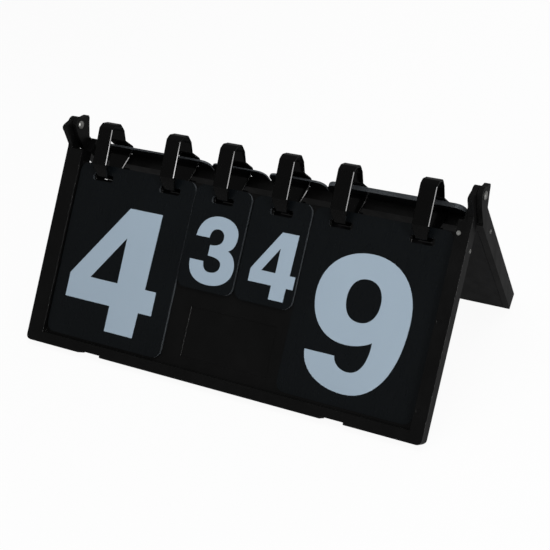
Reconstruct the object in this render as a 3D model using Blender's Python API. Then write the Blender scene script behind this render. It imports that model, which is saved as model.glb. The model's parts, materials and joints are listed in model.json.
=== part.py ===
"""Folding table scoreboard: two hinged boards that stand as a tent, with number cards that turn over hoops.

Each board is drawn flat and upright with the hinge pin on the local X axis:
local -Y points out of its card side and local -Z points down the board.
Distances out of the card side are called w and distances down the board v.
"""

import math

import bmesh
import bpy

# Driving sizes, in metres.
LEAN = math.radians(36.0)
BOARD_LENGTH = 0.2000
BOARD_BACK_W = -0.0160
RIM_W = -0.0010
FLOOR_W = -0.0064
STRIP_TOP_V = 0.0210
PANEL_TOP_V = 0.0310
RECESS_END_V = 0.1900
WIDE_STRIP = 0.0162
NARROW_STRIP = 0.0114
FOOT_RISE = 0.0019
GAP = 0.0003

# Hinge.
EAR_THICK = 0.0044
EAR_GAP = 0.0004
EAR_RADIUS = 0.0069
PIN_RADIUS = 0.0020
PIN_CLEARANCE = 0.0001
PIN_HEAD_RADIUS = 0.0036
PIN_HEAD_THICK = 0.0016

# Shell of the moulding and the plate that closes its back.
WALL = 0.0024
FLOOR_THICK = 0.0022
RIB = 0.0020
CELL_SHARES = (0.18, 0.61)
STRIP_SHARES = (0.36, 0.70)
PLATE_THICK = 0.0015
PLATE_SEAT = 0.0012
PLATE_SIDE = 0.0060
PLATE_FOOT = 0.0065
PLATE_CORNER = 0.0030
OUTER_CORNER = 0.0045

# Cards.
CARD_THICK = 0.00035
CARD_AIR = 0.00010
CARD_PITCH = CARD_THICK + CARD_AIR
BIG_WIDTH = 0.1200
BIG_LENGTH = 0.1562
SMALL_WIDTH = 0.0540
SMALL_LENGTH = 0.0897
CARD_CORNER = 0.0080
SLOT_WIDTH = 0.0210
SLOT_LENGTH = 0.0062
SLOT_DOWN = 0.0082
FRONT_CARD_V = 0.0313
REAR_CARD_V = 0.0183
MIDDLE_GAP = 0.0020
STACK_GAP = 0.0010
CARD_SIDE_GAP = 0.0012
SMALL_X = MIDDLE_GAP / 2 + SMALL_WIDTH / 2
BIG_X = SMALL_X + SMALL_WIDTH / 2 + STACK_GAP + BIG_WIDTH / 2
BIG_SLOT_APART = 0.0350
BIG_SLOTS = (-BIG_SLOT_APART, BIG_SLOT_APART)
STACKS = (
    ("left_score", -BIG_X, BIG_WIDTH, BIG_LENGTH, BIG_SLOTS, 6),
    ("left_set", -SMALL_X, SMALL_WIDTH, SMALL_LENGTH, (0.0,), 7),
    ("right_set", SMALL_X, SMALL_WIDTH, SMALL_LENGTH, (0.0,), 6),
    ("right_score", BIG_X, BIG_WIDTH, BIG_LENGTH, BIG_SLOTS, 1),
)
CARDS_PER_STACK = 10
CARD_ZONE_HALF = BIG_X + BIG_WIDTH / 2 + CARD_SIDE_GAP
BOARD_X_LOW = -CARD_ZONE_HALF - WIDE_STRIP
BOARD_X_HIGH = CARD_ZONE_HALF + NARROW_STRIP

# Hoops: centre line in the upright end view, as (y, z, corner radius) from the pin axis.
HOOP_X = tuple(x + offset for _, x, _, _, slots, _ in STACKS for offset in slots)
HOOP_HALF = 0.0076
HOOP_TOP_HALF = 0.0062
HOOP_TONGUE_HALF = 0.0052
HOOP_THICK = 0.0020
HOOP_PATH = (
    (0.0000, 0.0052, 0.0030),
    (-0.0044, 0.0024, 0.0040),
    (-0.0230, -0.0231, 0.0010),
    (-0.0220, -0.0353, 0.0012),
    (-0.0102, -0.0439, 0.0035),
    (0.00745, -0.02885, 0.0030),
    (0.0160, -0.0227, 0.0020),
    (0.0090, -0.0134, 0.0030),
    (0.0078, -0.0035, 0.0040),
    (0.0058, 0.0040, 0.0030),
)
PANEL_SLOT_V = (0.0395, 0.0465)
PANEL_SLOT_HALF = HOOP_HALF + 0.0010
PLATE_SLOT_V = (0.0401, 0.0429)
PLATE_SLOT_HALF = HOOP_TONGUE_HALF + 0.0008

# Small bare panel between the number cards, the notches at the foot, and the small studs.
PLAQUE_X = (-0.0370, 0.0460)
PLAQUE_V = (FRONT_CARD_V + SMALL_LENGTH + 0.0150, RECESS_END_V - 0.0100)
PLAQUE_DEEP = 0.0008
NOTCHES = ((-BIG_X - 0.0090, 0.0115), (BIG_X - 0.0042, 0.0104))
NOTCH_DEEP = 0.0020
STUD_RADIUS = 0.0018
STUD_LENGTH = 0.0030
STUD_PROUD = 0.0005
FACE_STUD_IN = 0.0025
DIMPLE_RADIUS = 0.0021
DIMPLE_V = (0.1026, 0.1737)

PIN_HEIGHT = (
    BOARD_LENGTH * math.cos(LEAN) - BOARD_BACK_W * math.sin(LEAN) - FOOT_RISE
)


def clear_scene():
    """Start from an empty scene."""
    for old in list(bpy.data.objects):
        bpy.data.objects.remove(old, do_unlink=True)


def collection(name, helper=False):
    """A new collection linked to the scene."""
    made = bpy.data.collections.new(name)
    bpy.context.scene.collection.children.link(made)
    made.hide_render = helper
    return made


def material(name, colour, roughness, metallic=0.0):
    """A plain surface with one colour, roughness and metal value."""
    made = bpy.data.materials.new(name)
    made.use_nodes = True
    shader = made.node_tree.nodes["Principled BSDF"]
    shader.inputs["Base Color"].default_value = (*colour, 1.0)
    shader.inputs["Roughness"].default_value = roughness
    shader.inputs["Metallic"].default_value = metallic
    made.diffuse_color = (*colour, 1.0)
    return made


def arc(cx, cy, radius, start, end, steps):
    """Points on an arc from start to end degrees."""
    points = []
    for k in range(steps + 1):
        turn = math.radians(start + (end - start) * k / steps)
        points.append((cx + radius * math.cos(turn), cy + radius * math.sin(turn)))
    return points


def round_rect(x0, x1, y0, y1, radius, steps):
    """A rectangle with rounded corners, going round anticlockwise."""
    points = arc(x1 - radius, y0 + radius, radius, -90, 0, steps)
    points += arc(x1 - radius, y1 - radius, radius, 0, 90, steps)
    points += arc(x0 + radius, y1 - radius, radius, 90, 180, steps)
    points += arc(x0 + radius, y0 + radius, radius, 180, 270, steps)
    return points


def soften(path, steps):
    """Replace each corner (y, z, radius) of a closed path by an arc that touches both sides."""
    points = []
    count = len(path)
    for k, (y, z, radius) in enumerate(path):
        before = path[k - 1]
        after = path[(k + 1) % count]
        ina = math.hypot(before[0] - y, before[1] - z)
        out = math.hypot(after[0] - y, after[1] - z)
        ua = ((before[0] - y) / ina, (before[1] - z) / ina)
        ub = ((after[0] - y) / out, (after[1] - z) / out)
        cosine = ua[0] * ub[0] + ua[1] * ub[1]
        half = math.acos(max(-1.0, min(1.0, cosine))) / 2
        reach = min(radius / math.tan(half), 0.49 * ina, 0.49 * out)
        start = (y + ua[0] * reach, z + ua[1] * reach)
        end = (y + ub[0] * reach, z + ub[1] * reach)
        for k2 in range(steps + 1):
            t = k2 / steps
            a = (1 - t) * (1 - t)
            b = 2 * t * (1 - t)
            c = t * t
            points.append(
                (a * start[0] + b * y + c * end[0], a * start[1] + b * z + c * end[1])
            )
    return points


def finish_mesh(name, bm, place, surface=None):
    """Turn the working mesh into an object in the given collection."""
    bmesh.ops.recalc_face_normals(bm, faces=bm.faces[:])
    mesh = bpy.data.meshes.new(name)
    bm.to_mesh(mesh)
    bm.free()
    made = bpy.data.objects.new(name, mesh)
    place.objects.link(made)
    if surface:
        mesh.materials.append(surface)
    return made


def add_prism(bm, outline, axis, low, high):
    """Extrude a flat outline along X (outline in y, z) or along Y (outline in x, z)."""
    rings = []
    for level in (low, high):
        ring = []
        for a, b in outline:
            spot = (level, a, b) if axis == "X" else (a, level, b)
            ring.append(bm.verts.new(spot))
        rings.append(ring)
    bm.faces.new(rings[0])
    bm.faces.new(reversed(rings[1]))
    count = len(outline)
    for k in range(count):
        after = (k + 1) % count
        bm.faces.new((rings[0][k], rings[0][after], rings[1][after], rings[1][k]))


def add_box(bm, x0, x1, w0, w1, v0, v1):
    """A box between two x, two w and two v values of a board."""
    add_prism(bm, [(x0, -v1), (x1, -v1), (x1, -v0), (x0, -v0)], "Y", -w1, -w0)


def add_cylinder(bm, centre, axis, radius, length, segments):
    """A closed cylinder that starts at centre and runs along the axis."""
    outline = arc(0, 0, radius, 0, 360, segments)[:-1]
    if axis == "X":
        outline = [(centre[1] + a, centre[2] + b) for a, b in outline]
        low, high = sorted((centre[0], centre[0] + length))
    else:
        outline = [(centre[0] + a, centre[2] + b) for a, b in outline]
        low, high = sorted((centre[1], centre[1] + length))
    add_prism(bm, outline, axis, low, high)


def boolean(target, tool, operation):
    """Cut, join or trim the target by the tool."""
    step = target.modifiers.new(operation.lower() + "_" + tool.name, "BOOLEAN")
    step.operation = operation
    step.solver = "EXACT"
    step.object = tool
    tool.hide_render = True
    tool.display_type = "WIRE"


def board_side_profile():
    """Side view of the moulding as (y, z), with the stop flat at the top and the foot flat below."""
    sine = math.sin(LEAN)
    cosine = math.cos(LEAN)
    half_gap = GAP / 2
    stop_w = (half_gap - STRIP_TOP_V * sine) / cosine
    stop_v = (half_gap - BOARD_BACK_W * cosine) / sine
    foot_w = (BOARD_LENGTH * cosine - PIN_HEIGHT) / sine
    foot_v = (PIN_HEIGHT + BOARD_BACK_W * sine) / cosine
    nose = 0.0010
    corners = [
        (RIM_W - nose, STRIP_TOP_V),
        (stop_w, STRIP_TOP_V),
        (BOARD_BACK_W, stop_v),
        (BOARD_BACK_W, foot_v),
        (foot_w, BOARD_LENGTH),
        (RIM_W - nose, BOARD_LENGTH),
        (RIM_W, BOARD_LENGTH - nose),
        (RIM_W, STRIP_TOP_V + nose),
    ]
    return [(-w, -v) for w, v in corners]


def ear_profile():
    """Side view of a hinge ear as (y, z): an eye round the pin and a nose that runs into the rim."""
    start = math.degrees(math.atan2(1.4, -6.8))
    end = math.degrees(math.atan2(4.9, 4.7)) - 360
    eye = arc(0, 0, EAR_RADIUS, start, end + 360, 10)
    corners = [
        (RIM_W - 0.0010, 0.0300),
        (RIM_W + 0.0002, 0.0185),
        (0.0092, 0.0100),
        (0.0122, 0.0080),
        (0.0133, 0.0060),
        (0.0126, 0.0042),
        (0.0115, 0.0029),
    ]
    lower = [(-0.0095, 0.0040), (-0.0120, 0.0120), (-0.0146, 0.0210), (-0.0146, 0.0300)]
    points = [(-w, -v) for w, v in corners]
    points += eye
    points += [(-w, -v) for w, v in lower]
    return points


def between_ribs(marks):
    """The open spans between marks, with half a rib kept at each side of an inner mark."""
    spans = []
    last = len(marks) - 2
    for k, (low, high) in enumerate(zip(marks, marks[1:])):
        spans.append((low + (RIB / 2 if k else 0), high - (RIB / 2 if k < last else 0)))
    return spans


def split(start, end, shares):
    """Marks at the start, at shares of the length and at the end."""
    return [start] + [start + (end - start) * share for share in shares] + [end]


def pocket_spans():
    """The hollow cells behind the card floor and behind the two side strips, as x and v spans."""
    zone = CARD_ZONE_HALF - WALL
    edge = SMALL_X + SMALL_WIDTH / 2 + STACK_GAP / 2
    spans_x = between_ribs([-zone, -BIG_X, -edge, 0.0, edge, BIG_X, zone])
    end = RECESS_END_V - 0.0010
    rows = between_ribs(split(PANEL_TOP_V + WALL, end, CELL_SHARES))
    cells = [(x0, x1, v0, v1) for x0, x1 in spans_x for v0, v1 in rows]
    sides = (
        (BOARD_X_LOW + WALL, -CARD_ZONE_HALF - WALL / 2),
        (CARD_ZONE_HALF + WALL / 2, BOARD_X_HIGH - WALL),
    )
    rows = between_ribs(split(PANEL_TOP_V + 0.0040, end, STRIP_SHARES))
    strips = [(x0, x1, v0, v1) for x0, x1 in sides for v0, v1 in rows]
    return cells, strips


def plate_outline(margin):
    """Outline of the back plate as (x, z); the margin is the running gap to its seat."""
    return round_rect(
        BOARD_X_LOW + PLATE_SIDE + margin,
        BOARD_X_HIGH - PLATE_SIDE - margin,
        -BOARD_LENGTH + PLATE_FOOT + margin,
        -PANEL_TOP_V - PLATE_SEAT - margin,
        PLATE_CORNER,
        4,
    )


def make_board(name, place, helpers, surface):
    """One moulding: rim, card recess, hoop slots, back cells, plate seat and two hinge ears."""
    bm = bmesh.new()
    add_prism(bm, board_side_profile(), "X", BOARD_X_LOW, BOARD_X_HIGH)
    board = finish_mesh(name, bm, place, surface)

    bm = bmesh.new()
    outline = round_rect(BOARD_X_LOW, BOARD_X_HIGH, -BOARD_LENGTH, 0.010, OUTER_CORNER, 5)
    add_prism(bm, outline, "Y", -0.004, 0.020)
    boolean(board, finish_mesh(name + "_outline", bm, helpers), "INTERSECT")

    bm = bmesh.new()
    for x0 in (BOARD_X_LOW, BOARD_X_HIGH - EAR_THICK):
        add_prism(bm, ear_profile(), "X", x0, x0 + EAR_THICK)
    boolean(board, finish_mesh(name + "_ears", bm, helpers), "UNION")

    bm = bmesh.new()
    half = CARD_ZONE_HALF
    add_box(bm, -half, half, FLOOR_W, 0.010, PANEL_TOP_V - 0.001, RECESS_END_V)
    boolean(board, finish_mesh(name + "_recess", bm, helpers), "DIFFERENCE")

    bm = bmesh.new()
    add_box(bm, -half, half, -0.030, 0.012, -0.010, PANEL_TOP_V)
    low = BOARD_LENGTH - NOTCH_DEEP
    for x, reach in NOTCHES:
        add_box(bm, x - reach, x + reach, -0.030, 0.010, low, BOARD_LENGTH + 0.010)
    boolean(board, finish_mesh(name + "_openings", bm, helpers), "DIFFERENCE")

    cut_back(board, name, helpers)
    cut_details(board, name, helpers)
    return board


def cut_back(board, name, helpers):
    """Hollow cells between ribs, and the shallow seat that takes the back plate."""
    seat_w = BOARD_BACK_W + PLATE_THICK
    cells, strips = pocket_spans()
    bm = bmesh.new()
    for x0, x1, v0, v1 in cells:
        add_box(bm, x0, x1, BOARD_BACK_W - 0.004, FLOOR_W - FLOOR_THICK, v0, v1)
    for x0, x1, v0, v1 in strips:
        add_box(bm, x0, x1, BOARD_BACK_W - 0.004, RIM_W - FLOOR_THICK, v0, v1)
    trim = finish_mesh(name + "_cells", bm, helpers)

    bm = bmesh.new()
    add_prism(bm, plate_outline(-GAP / 2), "Y", -seat_w, 0.024)
    seat = finish_mesh(name + "_plate_seat", bm, helpers)
    keep = bmesh.new()
    lip = PLATE_SEAT + 0.0010
    inner = (BOARD_X_LOW + PLATE_SIDE + lip, BOARD_X_HIGH - PLATE_SIDE - lip)
    foot = BOARD_LENGTH - PLATE_FOOT - lip
    add_box(keep, inner[0], inner[1], -0.030, 0.0, PANEL_TOP_V + WALL, foot)
    boolean(trim, finish_mesh(name + "_cell_limit", keep, helpers), "INTERSECT")
    boolean(board, seat, "DIFFERENCE")
    boolean(board, trim, "DIFFERENCE")


def cut_details(board, name, helpers):
    """Hoop slots, bare panel, pin holes, stud holes and dimples."""
    bm = bmesh.new()
    for x in HOOP_X:
        half = PANEL_SLOT_HALF
        add_box(bm, x - half, x + half, -0.030, 0.0, *PANEL_SLOT_V)
    add_box(bm, *PLAQUE_X, FLOOR_W - PLAQUE_DEEP, 0.0, *PLAQUE_V)
    boolean(board, finish_mesh(name + "_slots", bm, helpers), "DIFFERENCE")

    bm = bmesh.new()
    bore = PIN_RADIUS + PIN_CLEARANCE
    for x0 in (BOARD_X_LOW, BOARD_X_HIGH - EAR_THICK):
        add_cylinder(bm, (x0 - 0.002, 0, 0), "X", bore, EAR_THICK + 0.004, 24)
    for spot, axis, length in stud_places():
        hole = STUD_RADIUS + GAP / 2
        deep = -(STUD_LENGTH - STUD_PROUD + GAP) * math.copysign(1, length)
        start = list(spot)
        start[0 if axis == "X" else 1] += math.copysign(0.002, length)
        add_cylinder(bm, start, axis, hole, deep - math.copysign(0.002, length), 16)
    for v in DIMPLE_V:
        x = CARD_ZONE_HALF + 0.0033
        add_cylinder(bm, (x, -RIM_W - 0.002, -v), "Y", DIMPLE_RADIUS, 0.0026, 16)
    boolean(board, finish_mesh(name + "_holes", bm, helpers), "DIFFERENCE")


def stud_places():
    """Face position, axis and outward sense of the studs in one moulding."""
    return (
        ((CARD_ZONE_HALF + FACE_STUD_IN, -RIM_W, -0.0320), "Y", -1.0),
        ((BOARD_X_HIGH, 0.0125, -0.0435), "X", 1.0),
        ((BOARD_X_LOW, 0.0080, -0.0480), "X", -1.0),
    )


def make_stud(name, which, place, surface):
    """A short round stud set in the moulding, standing a little proud of it."""
    spot, axis, outward = stud_places()[which]
    start = list(spot)
    start[0 if axis == "X" else 1] += outward * STUD_PROUD
    bm = bmesh.new()
    add_cylinder(bm, start, axis, STUD_RADIUS, -outward * STUD_LENGTH, 16)
    return finish_mesh(name, bm, place, surface)


def make_plate(name, place, helpers, surface):
    """The flat plate that closes the cells at the back of a board."""
    bm = bmesh.new()
    low = -(BOARD_BACK_W + PLATE_THICK) + GAP
    add_prism(bm, plate_outline(GAP / 2), "Y", low, -BOARD_BACK_W)
    plate = finish_mesh(name, bm, place, surface)
    bm = bmesh.new()
    for x in HOOP_X:
        add_box(bm, x - PLATE_SLOT_HALF, x + PLATE_SLOT_HALF, -0.030, 0.0, *PLATE_SLOT_V)
    boolean(plate, finish_mesh(name + "_slots", bm, helpers), "DIFFERENCE")
    return plate


def make_pin(name, x_head, place, surface):
    """A hinge pin with a low round head; the head rests on the +X side of the ears."""
    length = 2 * EAR_THICK + EAR_GAP + GAP + 0.0008
    rings = [
        (x_head - length, PIN_RADIUS - 0.0004),
        (x_head - length + 0.0004, PIN_RADIUS),
        (x_head + GAP, PIN_RADIUS),
        (x_head + GAP, PIN_HEAD_RADIUS),
        (x_head + GAP + 0.0007, PIN_HEAD_RADIUS),
        (x_head + GAP + 0.0013, PIN_HEAD_RADIUS * 0.72),
        (x_head + GAP + PIN_HEAD_THICK, PIN_HEAD_RADIUS * 0.30),
    ]
    bm = bmesh.new()
    made = []
    for x, radius in rings:
        circle = arc(0, 0, radius, 0, 360, 20)[:-1]
        made.append([bm.verts.new((x, a, b)) for a, b in circle])
    bm.faces.new(made[0])
    bm.faces.new(reversed(made[-1]))
    for low, high in zip(made, made[1:]):
        for k in range(20):
            after = (k + 1) % 20
            bm.faces.new((low[k], low[after], high[after], high[k]))
    return finish_mesh(name, bm, place, surface)


def hoop_half_width(z):
    """Half the band's width: full on the legs, drawn in over the top and along the low tongue."""
    if z < -0.0270:
        share = min(1.0, (-0.0270 - z) / 0.0060)
        return HOOP_HALF - (HOOP_HALF - HOOP_TONGUE_HALF) * share
    start = -0.0050
    top = 0.0060
    share = max(0.0, min(1.0, (z - start) / (top - start)))
    return HOOP_HALF - (HOOP_HALF - HOOP_TOP_HALF) * share * share


def make_hoop(name, x, place, surface):
    """A closed band that runs through the front board's slot, over the top and down to the rear cards."""
    path = soften(HOOP_PATH, 4)
    count = len(path)
    inner = []
    outer = []
    for k, (y, z) in enumerate(path):
        before = path[k - 1]
        after = path[(k + 1) % count]
        ty = after[0] - before[0]
        tz = after[1] - before[1]
        size = math.hypot(ty, tz)
        ny = tz / size
        nz = -ty / size
        inner.append((y + ny * HOOP_THICK / 2, z + nz * HOOP_THICK / 2))
        outer.append((y - ny * HOOP_THICK / 2, z - nz * HOOP_THICK / 2))
    bm = bmesh.new()
    loops = []
    for side, line in ((-1, inner), (-1, outer), (1, outer), (1, inner)):
        ring = []
        for (y, z), (_, zc) in zip(line, path):
            ring.append(bm.verts.new((x + side * hoop_half_width(zc), y, z)))
        loops.append(ring)
    for a in range(4):
        b = (a + 1) % 4
        for k in range(count):
            after = (k + 1) % count
            corners = (loops[a][k], loops[a][after], loops[b][after], loops[b][k])
            bm.faces.new(corners)
    return finish_mesh(name, bm, place, surface)


def make_card(name, width, length, slot_offsets, place, surface):
    """A thin number card whose origin is the middle of its top edge, on its underside."""
    half = width / 2
    flat = bpy.data.curves.new(name + "_outline", "CURVE")
    flat.dimensions = "2D"
    flat.fill_mode = "BOTH"
    flat.extrude = CARD_THICK / 2
    loops = [round_rect(-half, half, -length, 0.0, CARD_CORNER, 4)]
    for offset in slot_offsets:
        x0 = offset - SLOT_WIDTH / 2
        x1 = offset + SLOT_WIDTH / 2
        loops.append(
            round_rect(x0, x1, -SLOT_DOWN - SLOT_LENGTH, -SLOT_DOWN, 0.0020, 2)
        )
    for loop in loops:
        spline = flat.splines.new("POLY")
        spline.points.add(len(loop) - 1)
        for point, (a, b) in zip(spline.points, loop):
            point.co = (a, b, 0.0, 1.0)
        spline.use_cyclic_u = True
    drawn = bpy.data.objects.new(name + "_drawn", flat)
    place.objects.link(drawn)
    bpy.context.view_layer.update()
    graph = bpy.context.evaluated_depsgraph_get()
    mesh = bpy.data.meshes.new_from_object(drawn.evaluated_get(graph))
    bpy.data.objects.remove(drawn, do_unlink=True)
    bpy.data.curves.remove(flat)
    bm = bmesh.new()
    bm.from_mesh(mesh)
    bpy.data.meshes.remove(mesh)
    bmesh.ops.remove_doubles(bm, verts=bm.verts[:], dist=1e-6)
    for vert in bm.verts:
        a, b, c = vert.co
        vert.co = (a, -c - CARD_THICK / 2, b)
    return finish_mesh(name, bm, place, surface)


def put(obj, parent, location):
    """Place an object in the frame of a board."""
    obj.parent = parent
    obj.location = location


def card_stacks(place, front, rear, surface):
    """Forty cards in four stacks; the lowest cards lie on the front, the turned ones behind."""
    for title, x, width, length, offsets, on_front in STACKS:
        for k in range(CARDS_PER_STACK):
            name = title + "_card_" + str(k)
            if k < on_front:
                card = make_card(name, width, length, offsets, place, surface)
                w = FLOOR_W + CARD_AIR + k * CARD_PITCH
                put(card, front, (x, -w, -FRONT_CARD_V))
            else:
                mirrored = [-s for s in offsets]
                card = make_card(name, width, length, mirrored, place, surface)
                w = FLOOR_W + CARD_AIR + (CARDS_PER_STACK - 1 - k) * CARD_PITCH
                put(card, rear, (-x, -w, -REAR_CARD_V))


def smooth_round(obj):
    """Smooth the rounded faces and keep the sharp edges."""
    for face in obj.data.polygons:
        face.use_smooth = True
    obj.data.set_sharp_from_angle(angle=math.radians(32))


def main():
    clear_scene()
    scoreboard = collection("flip_scoreboard")
    helpers = collection("cutters", helper=True)
    shell = material("black_moulding", (0.018, 0.018, 0.022), 0.38)
    band = material("black_band", (0.012, 0.012, 0.014), 0.16)
    sheet = material("card_black", (0.022, 0.023, 0.027), 0.33)
    metal = material("pale_metal", (0.62, 0.62, 0.60), 0.35, 0.9)

    front = bpy.data.objects.new("front_frame", None)
    rear = bpy.data.objects.new("rear_frame", None)
    for empty, turn in ((front, 0.0), (rear, math.pi)):
        scoreboard.objects.link(empty)
        empty.location = (0.0, 0.0, PIN_HEIGHT)
        empty.rotation_euler = (-LEAN, 0.0, turn)

    for title, parent in (("front", front), ("rear", rear)):
        board = make_board(title + "_board", scoreboard, helpers, shell)
        plate = make_plate(title + "_back_plate", scoreboard, helpers, shell)
        put(board, parent, (0, 0, 0))
        put(plate, parent, (0, 0, 0))
        for helper in helpers.objects:
            if helper.parent is None:
                helper.parent = parent

    put(make_stud("front_face_stud", 0, scoreboard, metal), front, (0, 0, 0))
    put(make_stud("front_side_stud", 1, scoreboard, metal), front, (0, 0, 0))
    put(make_stud("front_left_stud", 2, scoreboard, metal), front, (0, 0, 0))
    put(make_stud("rear_face_stud", 0, scoreboard, metal), rear, (0, 0, 0))
    put(make_stud("rear_left_stud", 1, scoreboard, metal), rear, (0, 0, 0))
    put(make_stud("rear_side_stud", 2, scoreboard, metal), rear, (0, 0, 0))

    outer = -BOARD_X_LOW
    inner = BOARD_X_HIGH - EAR_THICK
    pins = (("hinge_pin_left", -inner), ("hinge_pin_right", outer))
    for name, x_head in pins:
        pin = make_pin(name, x_head, scoreboard, metal)
        pin.location = (0, 0, PIN_HEIGHT)
        smooth_round(pin)

    for k, x in enumerate(HOOP_X):
        hoop = make_hoop("hoop_" + str(k + 1), x, scoreboard, band)
        hoop.location = (0, 0, PIN_HEIGHT)
        smooth_round(hoop)

    card_stacks(scoreboard, front, rear, sheet)
    for obj in scoreboard.objects:
        if obj.type == "MESH" and obj.name.endswith(("board", "stud")):
            smooth_round(obj)


main()
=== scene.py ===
# %% [markdown]
# # A folding table scoreboard
# Two black moulded boards stand as a tent. Number cards hang on six hoops and turn over the top.
# The solid parts come ready made as a fixed frame, in metres. This script gives them their finish:
# soft moulded edges, fine surface grain, printed numbers, a pale floor, studio light and a camera.

# %% Load the frame
import json
import math

import bmesh
import bpy
from mathutils import Matrix, Vector

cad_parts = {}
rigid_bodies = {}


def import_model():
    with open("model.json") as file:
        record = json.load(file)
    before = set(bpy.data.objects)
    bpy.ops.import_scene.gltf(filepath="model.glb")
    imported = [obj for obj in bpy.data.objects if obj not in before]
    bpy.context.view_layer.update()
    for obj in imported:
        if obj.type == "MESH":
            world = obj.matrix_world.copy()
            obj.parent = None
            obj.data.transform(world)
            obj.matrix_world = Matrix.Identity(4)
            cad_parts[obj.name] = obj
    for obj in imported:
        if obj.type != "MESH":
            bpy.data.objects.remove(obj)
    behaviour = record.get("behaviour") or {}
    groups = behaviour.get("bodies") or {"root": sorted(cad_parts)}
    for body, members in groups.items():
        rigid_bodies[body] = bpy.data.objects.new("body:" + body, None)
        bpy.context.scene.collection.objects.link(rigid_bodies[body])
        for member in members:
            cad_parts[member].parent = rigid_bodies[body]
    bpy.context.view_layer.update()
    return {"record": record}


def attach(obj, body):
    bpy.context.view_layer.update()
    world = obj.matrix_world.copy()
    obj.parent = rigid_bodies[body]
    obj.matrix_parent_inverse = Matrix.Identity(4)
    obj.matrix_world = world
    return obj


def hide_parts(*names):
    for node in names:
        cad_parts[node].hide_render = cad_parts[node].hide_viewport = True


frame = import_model()
joints = {joint["name"]: joint for joint in frame["record"]["behaviour"]["joints"]}
bodies = frame["record"]["behaviour"]["bodies"]
body_of = {node: body for body, nodes in bodies.items() for node in nodes}
MM = 0.001
PIN_HEIGHT = joints["fold"]["pos_m"][2]
LEAN = math.radians(36.0)
print("nodes", len(body_of), "pin height", round(PIN_HEIGHT, 4))

# %% [markdown]
# Each board leans 36 degrees, and everything on it is easiest to draw flat and upright, with the hinge
# pin as the X axis. Two matrices carry such a drawing to its place: one for the front board, and one
# that also turns it half a circle for the rear board. In the drawings x runs along the board, v runs
# down it from the pin, and w stands out of its card side.

# %% Frames of the two boards
to_pin = Matrix.Translation((0, 0, PIN_HEIGHT))
front_place = to_pin @ Matrix.Rotation(-LEAN, 4, "X")
rear_place = to_pin @ Matrix.Rotation(math.pi, 4, "Z") @ Matrix.Rotation(-LEAN, 4, "X")
front_normal = (front_place.to_3x3() @ Vector((0, -1, 0))).normalized()
rear_normal = (rear_place.to_3x3() @ Vector((0, -1, 0))).normalized()
print("front normal", [round(n, 3) for n in front_normal])


# %% [markdown]
# ## Camera
# The camera stands to the right of the board and looks down at it. Its direction, distance and lens
# were worked out from the corners of the boards in the photograph. A small upward shift keeps the
# board above the middle, as the photograph does.

# %% Camera
def add_camera(target, distance, azimuth, elevation, roll, lens, shift):
    """A camera that looks at the target from an azimuth and an elevation, tipped by the roll."""
    look = Vector(
        (
            -math.sin(azimuth) * math.cos(elevation),
            math.cos(azimuth) * math.cos(elevation),
            -math.sin(elevation),
        )
    )
    right = Vector((math.cos(azimuth), math.sin(azimuth), 0))
    up = right.cross(look)
    side = right * math.cos(roll) + up * math.sin(roll)
    top = up * math.cos(roll) - right * math.sin(roll)
    data = bpy.data.cameras.new("photo_camera")
    data.lens = lens
    data.sensor_width = 36
    data.shift_x, data.shift_y = shift
    camera = bpy.data.objects.new("photo_camera", data)
    turn = Matrix((side, top, -look)).transposed().to_4x4()
    camera.matrix_world = Matrix.Translation(target - look * distance) @ turn
    bpy.context.scene.collection.objects.link(camera)
    bpy.context.scene.camera = camera
    return camera


camera = add_camera(
    target=Vector((1.77 * MM, 0, PIN_HEIGHT - 173.28 * MM)),
    distance=1021.73 * MM,
    azimuth=math.radians(28.90),
    elevation=math.radians(34.56),
    roll=math.radians(-3.75),
    lens=72.24,
    shift=(0.001, 0.0943),
)
print("camera at", [round(c, 3) for c in camera.location])

# %% [markdown]
# ## Floor, world and lamps
# The photograph has a bare white ground. The floor and the world show plain white to the camera, and
# the floor still takes a faint shadow. Gloss shows the same ground, but dimmer, because polished black
# plastic shows whatever surrounds it, and around the real board the white ground soon ends in a darkish
# room. The light that the world itself gives stays low for the same reason.

# %% Node helpers
def new_material(name):
    """An empty node material with its output; returns the material, its nodes and its links."""
    material = bpy.data.materials.new(name)
    material.use_nodes = True
    tree = material.node_tree
    tree.nodes.clear()
    tree.nodes.new("ShaderNodeOutputMaterial").name = "out"
    return material, tree.nodes, tree.links


# %% Floor and world
MIRRORED = 0.075  # how bright the gloss shows the white ground, which ends not far from the object
FLOOR_SHADOW = 0.06  # the share of the lit floor, and so of the shadow, that the camera sees
ROOM_LEVEL = 0.10


def seen_directly(nodes, links, mirrored):
    """One for the rays that see the ground itself, and the mirrored share for those sent by gloss."""
    path = nodes.new("ShaderNodeLightPath")
    shown = nodes.new("ShaderNodeMath")
    shown.operation = "MAXIMUM"
    links.new(path.outputs["Is Camera Ray"], shown.inputs[0])
    links.new(path.outputs["Is Transmission Ray"], shown.inputs[1])
    total = nodes.new("ShaderNodeMath")
    total.operation = "MULTIPLY_ADD"
    total.use_clamp = True
    links.new(path.outputs["Is Glossy Ray"], total.inputs[0])
    total.inputs[1].default_value = mirrored
    links.new(shown.outputs[0], total.inputs[2])
    return total.outputs[0]


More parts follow.
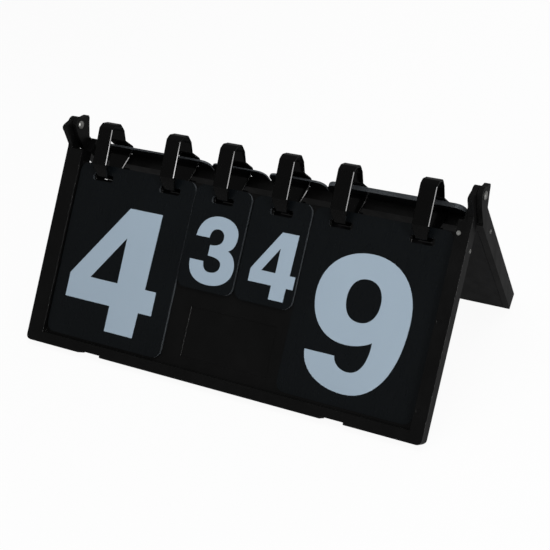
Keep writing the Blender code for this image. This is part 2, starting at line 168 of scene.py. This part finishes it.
def white_to_camera(nodes, links, lit, share):
    """Show white where the ground is seen and the lit surface to other rays; share keeps some shadow."""
    white = nodes.new("ShaderNodeEmission")
    white.inputs["Color"].default_value = (1, 1, 1, 1)
    links.new(seen_directly(nodes, links, MIRRORED), white.inputs["Strength"])
    soft = nodes.new("ShaderNodeMixShader")
    soft.inputs[0].default_value = share
    links.new(white.outputs[0], soft.inputs[1])
    links.new(lit.outputs[0], soft.inputs[2])
    pick = nodes.new("ShaderNodeMixShader")
    links.new(seen_directly(nodes, links, 1.0), pick.inputs[0])
    links.new(lit.outputs[0], pick.inputs[1])
    links.new(soft.outputs[0], pick.inputs[2])
    links.new(pick.outputs[0], nodes["out"].inputs["Surface"])


floor_finish, nodes, links = new_material("pale_floor")
paper = nodes.new("ShaderNodeBsdfDiffuse")
paper.inputs["Color"].default_value = (0.86, 0.86, 0.86, 1)
white_to_camera(nodes, links, paper, FLOOR_SHADOW)

bm = bmesh.new()
bmesh.ops.create_grid(bm, x_segments=1, y_segments=1, size=6.0)
floor_mesh = bpy.data.meshes.new("floor")
bm.to_mesh(floor_mesh)
bm.free()
floor = bpy.data.objects.new("floor", floor_mesh)
floor_mesh.materials.append(floor_finish)
bpy.context.scene.collection.objects.link(floor)

world = bpy.data.worlds.new("studio")
world.use_nodes = True
bpy.context.scene.world = world
world_nodes = world.node_tree.nodes
world_links = world.node_tree.links
world_nodes.clear()
world_out = world_nodes.new("ShaderNodeOutputWorld")
dim_room = world_nodes.new("ShaderNodeBackground")
dim_room.inputs["Color"].default_value = (0.92, 0.96, 1.0, 1)
dim_room.inputs["Strength"].default_value = ROOM_LEVEL
white_ground = world_nodes.new("ShaderNodeBackground")
white_ground.inputs["Color"].default_value = (1, 1, 1, 1)
world_links.new(seen_directly(world_nodes, world_links, MIRRORED), white_ground.inputs["Strength"])
world_pick = world_nodes.new("ShaderNodeMixShader")
world_links.new(seen_directly(world_nodes, world_links, 1.0), world_pick.inputs[0])
world_links.new(dim_room.outputs[0], world_pick.inputs[1])
world_links.new(white_ground.outputs[0], world_pick.inputs[2])
world_links.new(world_pick.outputs[0], world_out.inputs["Surface"])
print("floor and world set")


# %% [markdown]
# A large lamp overhead gives the plain level of light, and weak ones at the left and behind keep those
# sides readable. A tall narrow lamp at the right lights the right-hand walls. The window beside it is
# seen by gloss alone: it stands where the chamfers of the hoops mirror it to the camera, and so draws
# the thin bright lines down their edges.

# %% Lamps
def add_lamp(name, place, target, size, power, mirrored=True):
    """A rectangular area lamp that faces the target; mirrored says whether gloss shows it."""
    data = bpy.data.lights.new(name, "AREA")
    data.shape = "RECTANGLE"
    data.size, data.size_y = size
    data.energy = power
    lamp = bpy.data.objects.new(name, data)
    lamp.visible_glossy = mirrored
    lamp.location = place
    lamp.rotation_euler = (Vector(target) - Vector(place)).to_track_quat("-Z", "Y").to_euler()
    bpy.context.scene.collection.objects.link(lamp)
    return lamp


centre = (0, 0, 0.08)
add_lamp("overhead", (0.1, -0.35, 1.5), centre, (1.4, 1.0), 15, False)
add_lamp("right_strip", (1.3, -0.75, 0.75), centre, (0.25, 0.9), 7)
window = add_lamp("right_window", (1.35, -0.50, 0.45), centre, (0.65, 0.5), 9.6)
window.visible_diffuse = False
add_lamp("left_fill", (-1.5, -0.5, 0.6), centre, (0.6, 0.6), 2, False)
add_lamp("back_fill", (0.3, 1.3, 0.9), centre, (1.0, 0.5), 6, False)
bpy.context.scene.view_settings.view_transform = "Standard"


# %% [markdown]
# ## Finishes
# All the black parts are plastic, but not the same plastic. The boards are moulded with a fine spark
# grain and have scuffs that raise the roughness in patches. The hoops are polished. The cards are a
# satin sheet whose cut edges carry a painted highlight, a pale colour for the light the thin sheet
# catches there.
# Each finish mixes two close tones with noise, varies the roughness, and has a very fine bump.

# %% Plastic finish
def noise(nodes, links, source, scale, detail=3.0, stretch=(1, 1, 1)):
    """A noise pattern on object coordinates, stretched along an axis where asked."""
    place = nodes.new("ShaderNodeMapping")
    place.inputs["Scale"].default_value = stretch
    links.new(source.outputs["Object"], place.inputs["Vector"])
    pattern = nodes.new("ShaderNodeTexNoise")
    pattern.inputs["Scale"].default_value = scale
    pattern.inputs["Detail"].default_value = detail
    links.new(place.outputs[0], pattern.inputs["Vector"])
    return pattern


def spread(nodes, links, pattern, low, high, out_low, out_high):
    """Map a pattern from one range of values to another."""
    mapped = nodes.new("ShaderNodeMapRange")
    mapped.inputs["From Min"].default_value = low
    mapped.inputs["From Max"].default_value = high
    mapped.inputs["To Min"].default_value = out_low
    mapped.inputs["To Max"].default_value = out_high
    links.new(pattern.outputs[0], mapped.inputs["Value"])
    return mapped


def plastic(name, dark, pale, rough, grain_scale, grain_height, scuff_scale=28.0):
    """Moulded plastic: two close tones, patchy roughness and a fine grain."""
    material, nodes, links = new_material(name)
    where = nodes.new("ShaderNodeTexCoord")
    shader = nodes.new("ShaderNodeBsdfPrincipled")
    links.new(shader.outputs[0], nodes["out"].inputs["Surface"])

    cloud = noise(nodes, links, where, scuff_scale)
    tone = nodes.new("ShaderNodeMix")
    tone.data_type = "RGBA"
    tone.inputs["A"].default_value = (*dark, 1)
    tone.inputs["B"].default_value = (*pale, 1)
    links.new(cloud.outputs[0], tone.inputs["Factor"])
    links.new(tone.outputs["Result"], shader.inputs["Base Color"])

    scuff = noise(nodes, links, where, scuff_scale * 3.1, 6.0, (1, 1, 0.35))
    patchy = spread(nodes, links, scuff, 0.35, 0.75, rough[0], rough[1])
    links.new(patchy.outputs[0], shader.inputs["Roughness"])

    grain = noise(nodes, links, where, grain_scale, 2.0)
    bump = nodes.new("ShaderNodeBump")
    bump.inputs["Strength"].default_value = 0.5
    bump.inputs["Distance"].default_value = grain_height
    links.new(grain.outputs[0], bump.inputs["Height"])
    links.new(bump.outputs[0], shader.inputs["Normal"])
    return material


board_finish = plastic(
    "moulded_black",
    dark=(0.001, 0.001, 0.001),
    pale=(0.004, 0.004, 0.004),
    rough=(0.28, 0.42),
    grain_scale=900,
    grain_height=0.00002,
)
hoop_finish = plastic(
    "polished_black",
    dark=(0.0008, 0.0008, 0.0008),
    pale=(0.002, 0.002, 0.002),
    rough=(0.08, 0.16),
    grain_scale=350,
    grain_height=0.00001,
)
plate_finish = plastic(
    "plate_black",
    dark=(0.006, 0.006, 0.007),
    pale=(0.012, 0.012, 0.013),
    rough=(0.40, 0.55),
    grain_scale=700,
    grain_height=0.00004,
)


# %% Card finish
def card_sheet(name, face, edge):
    """A satin sheet with a painted highlight on its cut edges, and faint scratches along the way the
    cards slide.
    """
    material, nodes, links = new_material(name)
    where = nodes.new("ShaderNodeTexCoord")
    shader = nodes.new("ShaderNodeBsdfPrincipled")
    links.new(shader.outputs[0], nodes["out"].inputs["Surface"])

    # A face of a card points along one of the two board normals; a cut edge points across both.
    across = nodes.new("ShaderNodeMath")
    across.operation = "MAXIMUM"
    for k, normal in enumerate((front_normal, rear_normal)):
        facing = nodes.new("ShaderNodeVectorMath")
        facing.operation = "DOT_PRODUCT"
        facing.inputs[1].default_value = normal
        links.new(where.outputs["Normal"], facing.inputs[0])
        size = nodes.new("ShaderNodeMath")
        size.operation = "ABSOLUTE"
        links.new(facing.outputs["Value"], size.inputs[0])
        links.new(size.outputs[0], across.inputs[k])
    is_face = spread(nodes, links, across, 0.93, 0.97, 0.0, 1.0)

    cloud = noise(nodes, links, where, 22.0)
    toned = nodes.new("ShaderNodeMix")
    toned.data_type = "RGBA"
    toned.inputs["A"].default_value = (*[c * 0.75 for c in face], 1)
    toned.inputs["B"].default_value = (*[c * 1.25 for c in face], 1)
    links.new(cloud.outputs[0], toned.inputs["Factor"])
    # The cut edges take the pale edge colour: a painted highlight for the light they catch.
    face_and_edge_highlight = nodes.new("ShaderNodeMix")
    face_and_edge_highlight.data_type = "RGBA"
    face_and_edge_highlight.inputs["A"].default_value = (*edge, 1)
    links.new(is_face.outputs[0], face_and_edge_highlight.inputs["Factor"])
    links.new(toned.outputs["Result"], face_and_edge_highlight.inputs["B"])
    links.new(face_and_edge_highlight.outputs["Result"], shader.inputs["Base Color"])

    scratch = noise(nodes, links, where, 160.0, 4.0, (6.0, 0.5, 0.5))
    patchy = spread(nodes, links, scratch, 0.3, 0.7, 0.26, 0.38)
    links.new(patchy.outputs[0], shader.inputs["Roughness"])
    bump = nodes.new("ShaderNodeBump")
    bump.inputs["Strength"].default_value = 0.25
    bump.inputs["Distance"].default_value = 0.00003
    links.new(scratch.outputs[0], bump.inputs["Height"])
    links.new(bump.outputs[0], shader.inputs["Normal"])
    return material


# The second colour is the painted highlight on the cut edges of the cards.
card_finish = card_sheet("card_sheet", (0.003, 0.0042, 0.0052), (0.10, 0.11, 0.12))

# %% Print and metal finish
print_finish = plastic(
    "number_print",
    dark=(0.36, 0.45, 0.54),
    pale=(0.41, 0.51, 0.60),
    rough=(0.34, 0.46),
    grain_scale=420,
    grain_height=0.00002,
    scuff_scale=9.0,
)


def worn_metal(name, dark, pale):
    """Dull plated metal with a fine turned grain."""
    material, nodes, links = new_material(name)
    where = nodes.new("ShaderNodeTexCoord")
    shader = nodes.new("ShaderNodeBsdfPrincipled")
    shader.inputs["Metallic"].default_value = 0.85
    links.new(shader.outputs[0], nodes["out"].inputs["Surface"])
    cloud = noise(nodes, links, where, 300.0, 5.0)
    tone = nodes.new("ShaderNodeMix")
    tone.data_type = "RGBA"
    tone.inputs["A"].default_value = (*dark, 1)
    tone.inputs["B"].default_value = (*pale, 1)
    links.new(cloud.outputs[0], tone.inputs["Factor"])
    links.new(tone.outputs["Result"], shader.inputs["Base Color"])
    patchy = spread(nodes, links, cloud, 0.3, 0.7, 0.25, 0.45)
    links.new(patchy.outputs[0], shader.inputs["Roughness"])
    return material


metal_finish = worn_metal("dull_metal", (0.45, 0.45, 0.43), (0.75, 0.75, 0.72))
print("finishes", len(bpy.data.materials))


# %% [markdown]
# ## Soft edges on the mouldings
# A moulded edge is never sharp: it is rounded by a few tenths of a millimetre, and that thin rounding
# is what draws every pale outline on a black part. The board's solid is copied, its loose triangles
# are merged into flat faces again, and its sharp edges are bevelled.

# %% Rounded copies of solids
def joined_copy(node):
    """The node's mesh as a bmesh with its triangles merged into whole flat faces."""
    bm = bmesh.new()
    bm.from_mesh(bpy.data.objects[node].data)
    bmesh.ops.remove_doubles(bm, verts=bm.verts[:], dist=2e-6)
    bmesh.ops.dissolve_limit(
        bm,
        angle_limit=math.radians(1.0),
        use_dissolve_boundaries=False,
        verts=bm.verts[:],
        edges=bm.edges[:],
    )
    return bm


def round_edges(bm, radius, segments, sharp=35.0, clamp=True):
    """Bevel every edge whose faces meet at more than the sharp angle, in degrees."""
    limit = math.radians(sharp)
    edges = [e for e in bm.edges if len(e.link_faces) == 2 and e.calc_face_angle() > limit]
    bmesh.ops.bevel(
        bm,
        geom=edges,
        offset=radius,
        offset_type="OFFSET",
        segments=segments,
        profile=0.5,
        affect="EDGES",
        clamp_overlap=clamp,
        material=-1,
    )


def make_piece(name, bm, finish, body, smooth=40.0):
    """Turn the bmesh into a piece of the scene that rides on a body."""
    mesh = bpy.data.meshes.new(name)
    bm.to_mesh(mesh)
    bm.free()
    for face in mesh.polygons:
        face.use_smooth = True
    mesh.set_sharp_from_angle(angle=math.radians(smooth))
    mesh.materials.append(finish)
    piece = bpy.data.objects.new(name, mesh)
    bpy.context.scene.collection.objects.link(piece)
    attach(piece, body)
    return piece


def soften_node(node, name, radius, finish):
    """Replace a node by its own shape with rounded edges."""
    bm = joined_copy(node)
    round_edges(bm, radius, 2)
    piece = make_piece(name, bm, finish, body_of[node])
    # Let the large flat faces set the shading, so that a rounded edge doesn't bend their reflections.
    flatten = piece.modifiers.new("flat_faces_lead", "WEIGHTED_NORMAL")
    flatten.keep_sharp = True
    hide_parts(node)
    return piece


MOULDED_EDGE = 0.45 * MM
for side in ("front", "rear"):
    node = side + "_board"
    shell = soften_node(node, side + "_moulding", MOULDED_EDGE, board_finish)
    print(shell.name, len(shell.data.polygons), "faces")

# %% [markdown]
# ## Hoops
# Each hoop is a flat band that is bent like a ribbon. It is drawn in the end view: every corner of its
# closed run has a place across and above the pin, a bending radius, and how far the band reaches to the
# left and to the right there. The band is full width over the top, draws in to a tongue where it passes
# through the board, and is widest where the turned cards hang on it.

# %% Hoop bands
BAND_THICK = 2.0 * MM
BAND_CHAMFER = 0.5 * MM
BAND_RUN = (
    (-1.0, 5.3, 2.0, 7.9, 6.3),
    (-5.6, 3.8, 2.0, 7.9, 6.3),
    (-23.0, -23.1, 1.0, 7.9, 6.3),
    (-22.7, -26.8, 0.2, 7.6, 6.3),
    (-22.0, -35.3, 1.2, 5.2, 5.2),
    (-10.2, -43.9, 3.5, 5.2, 5.2),
    (7.45, -28.85, 3.0, 10.2, 10.2),
    (16.0, -22.7, 2.0, 10.2, 10.2),
    (9.0, -13.6, 3.0, 10.4, 7.2),
    (10.6, -4.5, 2.5, 7.9, 6.3),
    (7.0, 2.8, 3.0, 7.9, 6.3),
)


def bent_run(run, steps):
    """The run with each corner drawn as a short curve; every point keeps its reach left and right."""
    points = []
    for k, (y, z, radius, left, right) in enumerate(run):
        here = Vector((y, z))
        before = Vector(run[k - 1][:2])
        after = Vector(run[(k + 1) % len(run)][:2])
        back, on = (before - here).normalized(), (after - here).normalized()
        half_angle = back.angle(on) / 2
        room = 0.49 * min((before - here).length, (after - here).length)
        reach = min(radius / math.tan(half_angle), room)
        start, end = here + back * reach, here + on * reach
        for step in range(steps + 1):
            t = step / steps
            spot = start * (1 - t) ** 2 + here * 2 * t * (1 - t) + end * t * t
            points.append((spot * MM, left * MM, right * MM))
    return points


def hoop_band(x):
    """The bent band at one place along the pin: a ring of edges, drawn out wide and given its wall."""
    points = bent_run(BAND_RUN, 6)
    bm = bmesh.new()
    line = [bm.verts.new((x - left, spot.x, PIN_HEIGHT + spot.y)) for spot, left, _ in points]
    ring = [bm.edges.new(pair) for pair in zip(line, line[1:] + line[:1])]
    bmesh.ops.extrude_edge_only(bm, edges=ring)
    for vert, (_, _, right) in zip(line, points):
        far = next(edge.other_vert(vert) for edge in vert.link_edges if edge not in ring)
        far.co.x = x + right
    bmesh.ops.recalc_face_normals(bm, faces=bm.faces[:])
    bm.normal_update()
    middle = Vector((x, 0, PIN_HEIGHT - 15 * MM))
    outward = 1 if sum(f.normal.dot(f.calc_center_median() - middle) for f in bm.faces) > 0 else -1
    for vert in bm.verts:
        vert.co += vert.normal * outward * BAND_THICK / 2
    bmesh.ops.solidify(bm, geom=bm.faces[:], thickness=BAND_THICK * outward)
    bmesh.ops.recalc_face_normals(bm, faces=bm.faces[:])
    round_edges(bm, BAND_CHAMFER, 1, sharp=60.0, clamp=False)
    return bm


for k in range(1, 7):
    solid = [v.co.x for v in bpy.data.objects[f"hoop_{k}"].data.vertices]
    bm = hoop_band((max(solid) + min(solid)) / 2)
    band = make_piece(f"hoop_band_{k}", bm, hoop_finish, body_of[f"hoop_{k}"])
    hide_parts(f"hoop_{k}")
heights = [v.co.z - PIN_HEIGHT for v in band.data.vertices]
depths = [v.co.y for v in band.data.vertices]
print("hoops", band.name, len(band.data.polygons), "faces, from the pin", min(heights), max(heights))
print("hoop depth", min(depths), max(depths))

# %% Finish on the solids that stay
for node, body in body_of.items():
    obj = bpy.data.objects[node]
    if "_card_" in node:
        finish = card_finish
    elif "back_plate" in node:
        finish = plate_finish
    elif "pin" in node or "stud" in node:
        finish = metal_finish
    else:
        continue
    obj.data.materials.clear()
    obj.data.materials.append(finish)
print("cards", sum("_card_" in node for node in body_of))

# %% [markdown]
# ## Printed numbers
# The numbers are thick grotesque figures printed in a pale grey-blue. The 4 is straight-sided. The 3
# and the 9 are drawn with Bezier curves, each from its few extreme points, as a sign maker draws a
# figure. A flat curve with a hair of thickness becomes a mesh, and is then carried to its card.

# %% Figure outlines
# Each point is (x, v, handle in, handle out), in millimetres from the card's middle line; a point
# without handles is a corner.
NINE = (
    ((-2, 61.2), (-26, 61.2), (22, 61.2)),
    ((41, 109), (41, 78), (41, 152)),
    ((-1.5, 176.6), (24, 176.6), (-24, 176.6)),
    ((-42.2, 147.8), (-41, 165), None),
    ((-15.4, 147.8), None, (-14.6, 154)),
    ((-1.6, 158.4), (-9, 158.4), (9.5, 158.4)),
    ((13.6, 130.8), (14, 146), (8, 135)),
    ((-9, 137.2), (-1, 137.2), (-30, 137.2)),
    ((-43.2, 100), (-43.2, 121), (-43.2, 77)),
)
NINE_EYE = (
    ((-1.2, 81.8), (-11, 81.8), (8, 81.8)),
    ((13.6, 99.2), (13.6, 89), (13.6, 110)),
    ((-1.2, 117.4), (8, 117.4), (-11, 117.4)),
    ((-16, 99.2), (-16, 110), (-16, 89)),
)
THREE = (
    ((-17.6, 75.4), None, (-17.2, 63.5)),
    ((2.4, 56.0), (-9, 56.0), (13.6, 56.0)),
    ((21.9, 71.2), (21.9, 62), (21.9, 77.5)),
    ((15.4, 83.6), (19.8, 81.6), (20.8, 85.8)),
    ((24.2, 98.2), (24.2, 91.5), (24.2, 109)),
    ((2.4, 115.4), (15, 115.4), (-11, 115.4)),
    ((-18.9, 95.9), (-19, 108), None),
    ((-5.6, 96.0), None, (-5.2, 101.5)),
    ((2.4, 104.4), (-2.6, 104.4), (7.8, 104.4)),
    ((11.0, 97.2), (11.0, 101.4), (11.0, 92.8)),
    ((-2.6, 90.6), (6.4, 90.6), None),
    ((-2.6, 81.4), None, (5, 81.4)),
    ((9.0, 73.8), (9.0, 78.6), (9.0, 69.4)),
    ((2.2, 67.0), (6, 67.0), (-2.2, 67.0)),
    ((-4.6, 75.4), (-4.6, 70.2), None),
)
FOUR = (
    (0.2, 64.7),
    (33.6, 64.7),
    (32.2, 131.8),
    (43.7, 131.8),
    (43.7, 153.0),
    (30.4, 153.0),
    (29.6, 175.8),
    (0.2, 175.8),
    (0.2, 153.0),
    (-47.4, 153.0),
    (-47.4, 131.5),
)
FIVE = (
    ((-33, 64.7), None, None),
    ((38, 64.7), None, None),
    ((38, 84.5), None, None),
    ((-13.5, 84.5), None, None),
    ((-16.5, 103), None, (-12, 99.5)),
    ((4, 97), (-5, 97), (28, 97)),
    ((43, 137), (43, 114), (43, 162)),
    ((-1, 177.5), (25, 177.5), (-27, 177.5)),
    ((-43, 146), (-41, 166), None),
    ((-15.5, 146), None, (-14, 154)),
    ((0, 158.5), (-8, 158.5), (10, 158.5)),
    ((14.5, 137.5), (14.5, 150), (14.5, 124)),
    ((-1, 116.5), (9, 116.5), (-8, 116.5)),
    ((-15.5, 124), (-12, 118.5), None),
    ((-41, 121), None, None),
)
FOUR_EYE = ((3.2, 91), (-25.6, 131.8), (3.2, 131.8))


def corners(points, scale=(1, 1), shift=(0, 0)):
    """A straight-sided outline as points without handles."""
    return [((x * scale[0] + shift[0], v * scale[1] + shift[1]), None, None) for x, v in points]


SMALL_SCALE = (0.459, 0.512)
SMALL_SHIFT = (4.95, 25.4)
FIGURES = {
    "left_score": (corners(FOUR), corners(FOUR_EYE)),
    "left_set": (THREE,),
    "right_set": (
        corners(FOUR, SMALL_SCALE, SMALL_SHIFT),
        corners(FOUR_EYE, SMALL_SCALE, SMALL_SHIFT),
    ),
    "right_score": (NINE, NINE_EYE),
}
PRINT_THICK = 0.04 * MM


def resized(outline, scale, shift):
    """A figure's outline with its handles, drawn at another size and place."""
    return [
        tuple(p and (p[0] * scale[0] + shift[0], p[1] * scale[1] + shift[1]) for p in point)
        for point in outline
    ]


# The next number of each stack lies on the card under the shown one, and comes into sight when that
# one lifts. The right score shows its last card, so it has none.
NEXT_FIGURES = {
    "left_score": (FIVE,),
    "left_set": FIGURES["right_set"],
    "right_set": (resized(FIVE, SMALL_SCALE, SMALL_SHIFT),),
}


# %% Print the figures
def figure_mesh(name, outlines):
    """A thin closed plate in the outline of a figure, drawn in x and -v."""
    flat = bpy.data.curves.new(name, "CURVE")
    flat.dimensions = "2D"
    flat.fill_mode = "BOTH"
    flat.extrude = PRINT_THICK / 2
    flat.resolution_u = 14
    for outline in outlines:
        spline = flat.splines.new("BEZIER")
        spline.bezier_points.add(len(outline) - 1)
        for point, (spot, enter, leave) in zip(spline.bezier_points, outline):
            point.co = (spot[0] * MM, -spot[1] * MM, 0)
            for side, handle in (("left", enter), ("right", leave)):
                setattr(point, "handle_" + side + "_type", "FREE" if handle else "VECTOR")
                spot_of_handle = handle or spot
                place = (spot_of_handle[0] * MM, -spot_of_handle[1] * MM, 0)
                setattr(point, "handle_" + side, place)
        spline.use_cyclic_u = True
    drawn = bpy.data.objects.new(name, flat)
    bpy.context.scene.collection.objects.link(drawn)
    bpy.context.view_layer.update()
    graph = bpy.context.evaluated_depsgraph_get()
    mesh = bpy.data.meshes.new_from_object(drawn.evaluated_get(graph))
    bpy.data.objects.remove(drawn, do_unlink=True)
    bm = bmesh.new()
    bm.from_mesh(mesh)
    bmesh.ops.remove_doubles(bm, verts=bm.verts[:], dist=1e-7)
    bmesh.ops.recalc_face_normals(bm, faces=bm.faces[:])
    return bm


def place_figure(name, outlines, board_place, x, v_shift, w, body):
    """Stand the figure upright in the board's drawing, lay it on its card and let it ride there."""
    bm = figure_mesh(name, outlines)
    upright = Matrix.Rotation(math.radians(90), 4, "X")
    spot = Matrix.Translation((x, -w - PRINT_THICK / 2, -v_shift))
    bmesh.ops.transform(bm, matrix=board_place @ spot @ upright, verts=bm.verts[:])
    piece = make_piece(name, bm, print_finish, body)
    return piece


def card_top(node, place):
    """The card's outer w, its upper v and its middle x in the drawing of its board."""
    flat = [place.inverted() @ v.co for v in bpy.data.objects[node].data.vertices]
    w = max(-p.y for p in flat)
    v = min(-p.z for p in flat)
    x = (max(p.x for p in flat) + min(p.x for p in flat)) / 2
    return w, v, x


LIFT = 0.02 * MM
for stack, outlines in FIGURES.items():
    shown = bodies[stack + "_shown_card"][0]
    w, v, x = card_top(shown, front_place)
    top_v = v
    place_figure(stack + "_number", outlines, front_place, x, 0, w + LIFT, body_of[shown])
    turned = bodies[stack + "_turned_cards"][0]
    w, v, x = card_top(turned, rear_place)
    place_figure(stack + "_back_number", outlines, rear_place, x, v - top_v, w + LIFT, body_of[turned])
    print(stack, "shown", shown, "turned", turned)
    if stack in NEXT_FIGURES:
        under = stack + "_card_" + str(int(shown.rsplit("_", 1)[1]) - 1)
        w, v, x = card_top(under, front_place)
        name, outlines = stack + "_next_number", NEXT_FIGURES[stack]
        place_figure(name, outlines, front_place, x, 0, w + LIFT, body_of[under])
